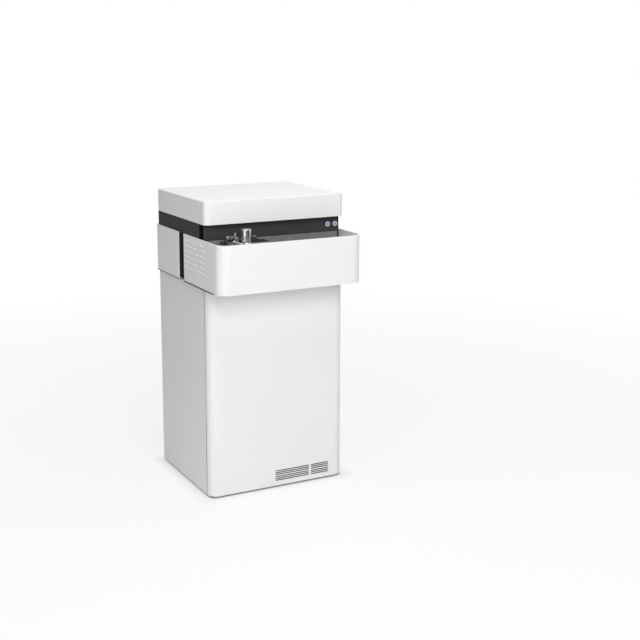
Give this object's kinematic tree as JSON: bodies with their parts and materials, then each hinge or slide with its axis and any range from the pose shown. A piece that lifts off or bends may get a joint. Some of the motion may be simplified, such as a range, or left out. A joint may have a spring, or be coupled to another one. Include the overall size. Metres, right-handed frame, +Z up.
{
  "type": "spark optical emission spectrometer",
  "caption": "Floor-standing spark emission spectrometer: white cabinet, projecting collar round a well with spark stand and clamp, dark fascia with buttons, hood over the optics.",
  "frame": {"origin": "middle of the footprint at floor level", "axes": "+Z up, the front with the well faces -Y, +X to the right of someone who looks at the front"},
  "size_m": [0.6564, 0.703, 1.25],
  "materials": {
    "white_paint": "satin white powder coat",
    "dark_panel": "satin charcoal",
    "black_plastic": "matt black",
    "black_frame": "matt black",
    "grey_panel": "satin grey",
    "zinc_sheet": "zinc-plated sheet",
    "chrome": "polished",
    "navy_plate": "hard-anodised, near black",
    "aluminium": "machined",
    "cast_grey": "cast, grey",
    "tungsten": "ground rod",
    "ceramic": "cream ceramic",
    "brown_knob": "brown-grey, satin",
    "mirror_glass": "coated glass",
    "bottle": "smoky moulding",
    "ring": "pale lavender",
    "button": "pale blue-white",
    "rubber": "black",
    "brass": "machined",
    "box_grey": "grey sheet box"
  },
  "bodies": {
    "cabinet": {"argon_block": "brass", "base_tray": "zinc_sheet", "bezel_power": "ring", "bezel_start": "ring", "chamber_lid": "aluminium", "channel_strip_left": "black_plastic", "channel_strip_right": "black_plastic", "clamp_column": "chrome", "collar_front": "white_paint", "collar_rear": "white_paint", "control_unit": "box_grey", "deck_plate": "white_paint", "detector_rail": "box_grey", "electrode": "tungsten", "electrode_insulator": "ceramic", "exhaust_filter": "bottle", "fan_frame": "black_plastic", "fascia_front": "dark_panel", "fascia_left": "dark_panel", "fascia_rear": "dark_panel", "fascia_right": "dark_panel", "foot_front_left": "rubber", "foot_front_right": "rubber", "foot_rear_left": "rubber", "foot_rear_right": "rubber", "front_panel": "white_paint", "gas_fitting": "brass", "grating": "mirror_glass", "grating_mount": "aluminium", "hood": "white_paint", "hood_pan": "black_frame", "light_tube": "black_plastic", "optical_chamber": "cast_grey", "power_inlet": "black_plastic", "power_supply": "aluminium", "readout_unit": "box_grey", "rear_panel": "white_paint", "shelf": "zinc_sheet", "side_panel_left": "white_paint", "side_panel_right": "white_paint", "slit_block": "black_plastic", "spark_plate": "navy_plate", "spark_source": "box_grey", "stand_body": "aluminium", "upper_frame": "black_frame", "upright_front_left": "black_frame", "upright_front_right": "black_frame", "upright_rear_left": "black_frame", "upright_rear_right": "black_frame", "well_back": "grey_panel", "well_floor": "grey_panel"},
    "start_button": {"button_start": "button"},
    "power_button": {"button_power": "button"},
    "swing_arm": {"clamp_arm": "chrome"},
    "plunger": {"clamp_plunger": "brown_knob"},
    "lock_lever": {"clamp_lever": "chrome"},
    "plate_screw": {"plate_knob": "chrome"},
    "rotor": {"fan_rotor": "black_plastic"},
    "rocker": {"mains_rocker": "black_plastic"}
  },
  "joints": [
    {"name": "start_button_press", "type": "slide", "parent": "cabinet", "child": "start_button", "axis": [0, 1, 0], "range_m": [0, 0.0025], "stiffness_N_per_m": 900, "springref_m": -0.001},
    {"name": "power_button_press", "type": "slide", "parent": "cabinet", "child": "power_button", "axis": [0, 1, 0], "range_m": [0, 0.0025], "stiffness_N_per_m": 900, "springref_m": -0.001},
    {"name": "arm_swing", "type": "hinge", "parent": "cabinet", "child": "swing_arm", "pos_m": [-0.17, -0.2655, 1.083], "axis": [0, 0, 1], "range_deg": [-55, 50]},
    {"name": "plunger_press", "type": "slide", "parent": "swing_arm", "child": "plunger", "axis": [0, 0, -1], "range_m": [0, 0.0025], "stiffness_N_per_m": 700, "springref_m": -0.003},
    {"name": "lock_lever_tilt", "type": "hinge", "parent": "swing_arm", "child": "lock_lever", "pos_m": [-0.18822, -0.19537, 1.1068], "axis": [-0.5952, 0.8036, 0], "range_deg": [0, 70]},
    {"name": "plate_screw_turn", "type": "hinge", "parent": "cabinet", "child": "plate_screw", "pos_m": [-0.103, -0.1935, 1.083], "axis": [0, 0, 1], "range_deg": [0, 90]},
    {"name": "fan_spin", "type": "hinge", "parent": "cabinet", "child": "rotor", "pos_m": [0, 0.2832, 0.69], "axis": [0, 1, 0], "continuous": true},
    {"name": "mains_rocker_tilt", "type": "hinge", "parent": "cabinet", "child": "rocker", "pos_m": [-0.18725, 0.3263, 0.118], "axis": [1, 0, 0], "range_deg": [0, 9]}
  ]
}
